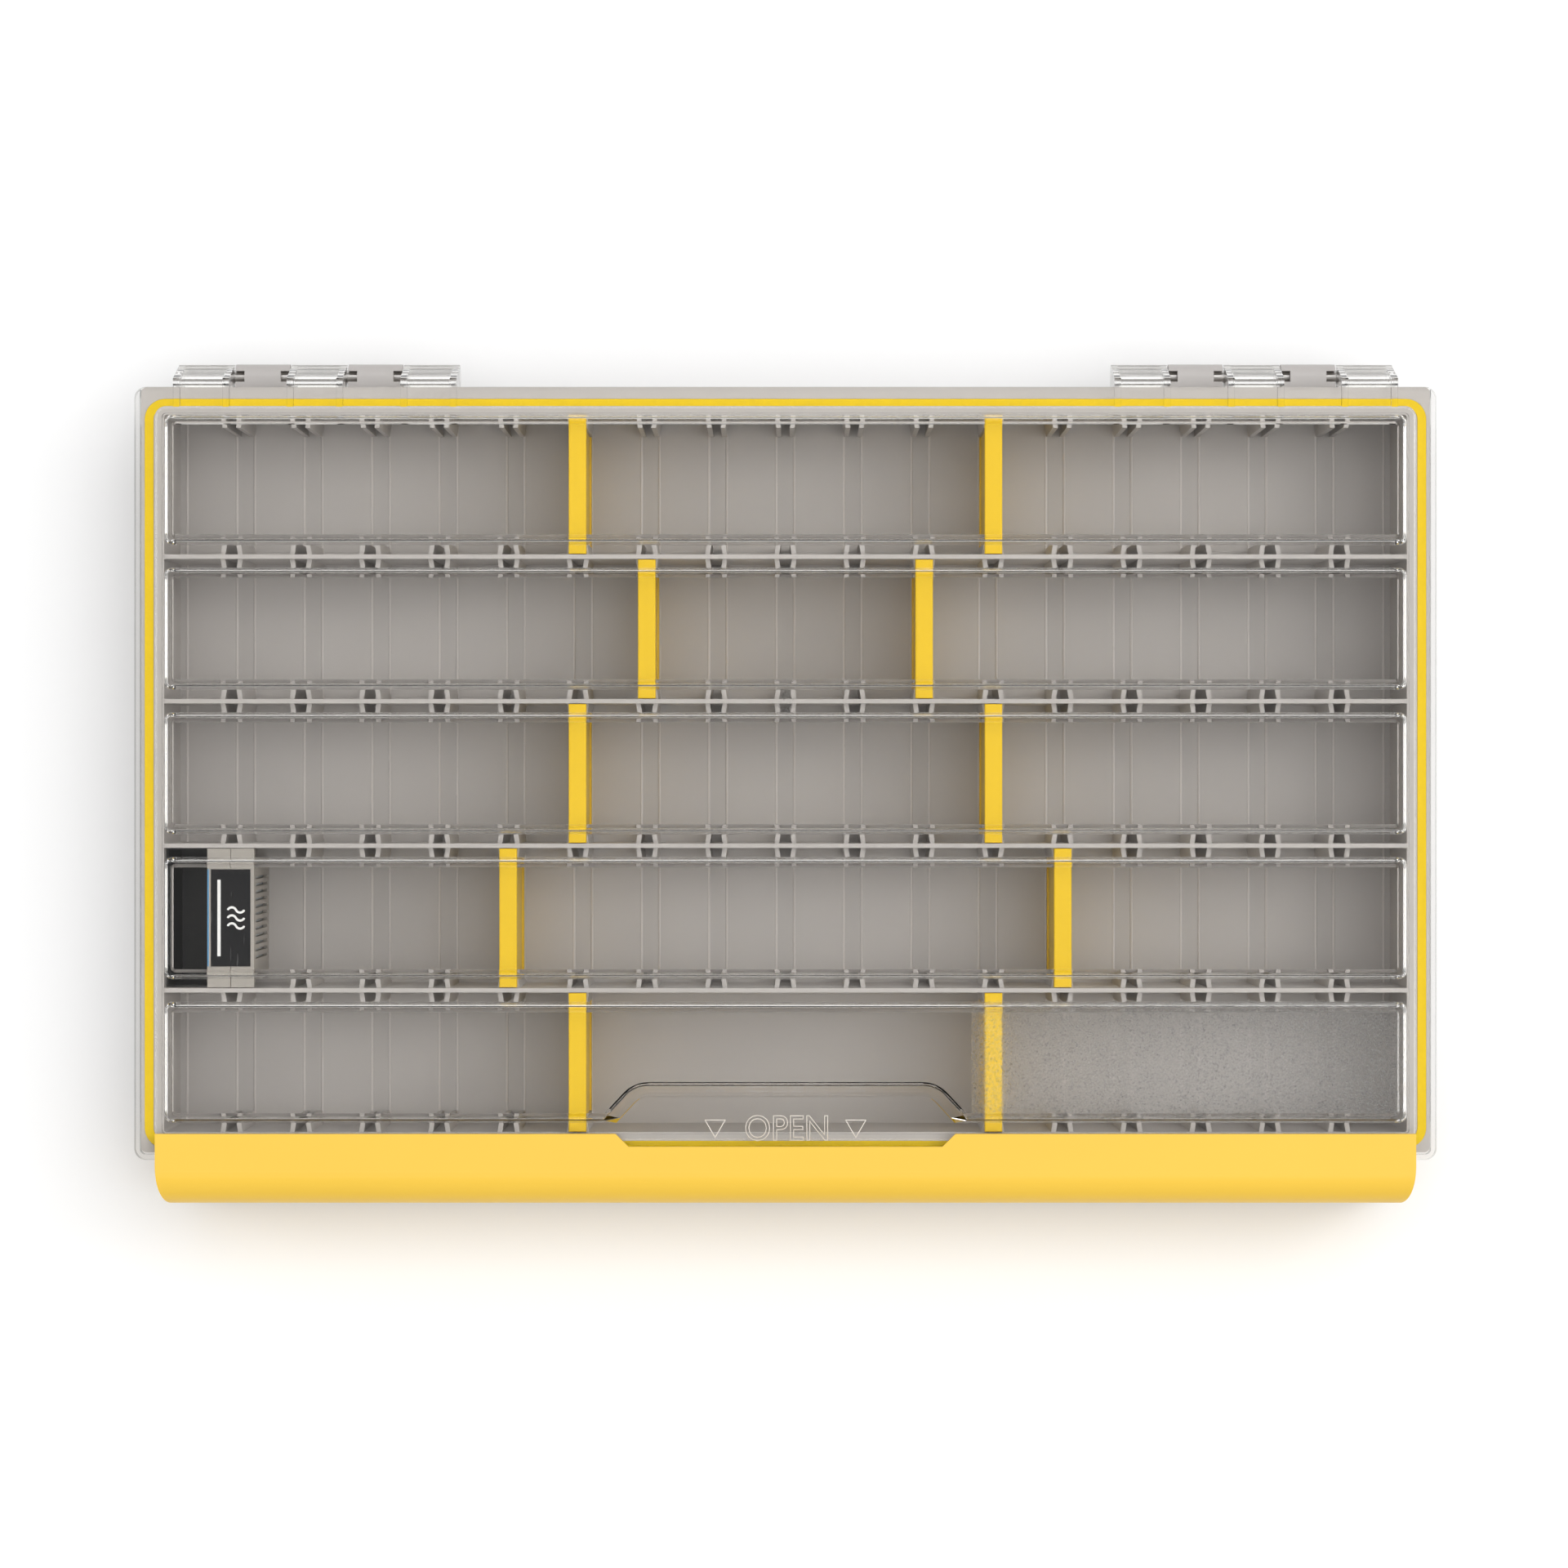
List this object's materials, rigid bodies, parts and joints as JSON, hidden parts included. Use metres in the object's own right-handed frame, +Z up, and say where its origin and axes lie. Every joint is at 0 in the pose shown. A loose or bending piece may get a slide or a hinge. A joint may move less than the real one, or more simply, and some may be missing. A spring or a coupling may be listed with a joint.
{
  "type": "tackle utility box",
  "caption": "Flat divided storage box with a clear hinged lid, a full-width front latch, a rim seal, removable dividers and a drying divider.",
  "frame": {"origin": "centre of the flat face that the tray rests on, under the middle of the grid of compartments", "axes": "+X along the box to the right seen from the latch, -Y towards the latch, +Y towards the hinges, +Z up"},
  "size_m": [0.3578, 0.2318, 0.0508],
  "materials": {
    "tray_grey": "satin moulded warm grey",
    "seal_rubber": "smooth yellow elastomer",
    "lid_clear": "clear glossy polycarbonate-like plastic",
    "pin_steel": "drawn steel wire",
    "latch_amber": "satin amber-yellow",
    "divider_yellow": "satin moulded yellow",
    "drier_grey": "satin moulded grey",
    "drier_fill": "pressed granules",
    "label_black": "glossy film"
  },
  "bodies": {
    "tray": {"tray_floor": "tray_grey", "tray_end_left": "tray_grey", "tray_end_right": "tray_grey", "tray_back": "tray_grey", "tray_front": "tray_grey", "row_wall_1": "tray_grey", "row_wall_2": "tray_grey", "row_wall_3": "tray_grey", "row_wall_4": "tray_grey", "gasket": "seal_rubber", "hinge_pin_left": "pin_steel", "hinge_pin_right": "pin_steel", "latch_pin_left": "pin_steel", "latch_pin_middle": "pin_steel", "latch_pin_right": "pin_steel", "divider_row1_left": "divider_yellow", "divider_row1_right": "divider_yellow", "divider_row2_left": "divider_yellow", "divider_row2_right": "divider_yellow", "divider_row3_left": "divider_yellow", "divider_row3_right": "divider_yellow", "divider_row4_left": "divider_yellow", "divider_row4_right": "divider_yellow", "divider_row5_left": "divider_yellow", "divider_row5_right": "divider_yellow", "drier_case_left": "drier_grey", "drier_case_right": "drier_grey", "drier_block": "drier_fill", "drier_top_label": "label_black", "drier_side_label": "label_black"},
    "lid": {"lid": "lid_clear"},
    "latch": {"latch": "latch_amber"}
  },
  "joints": [
    {"name": "lid_hinge", "type": "hinge", "parent": "tray", "child": "lid", "pos_m": [0, 0.11, 0.03], "axis": [-1, 0, 0], "range_deg": [0, 180]},
    {"name": "latch_pivot", "type": "hinge", "parent": "tray", "child": "latch", "pos_m": [0, -0.111, 0.012], "axis": [1, 0, 0], "range_deg": [0, 90]}
  ]
}
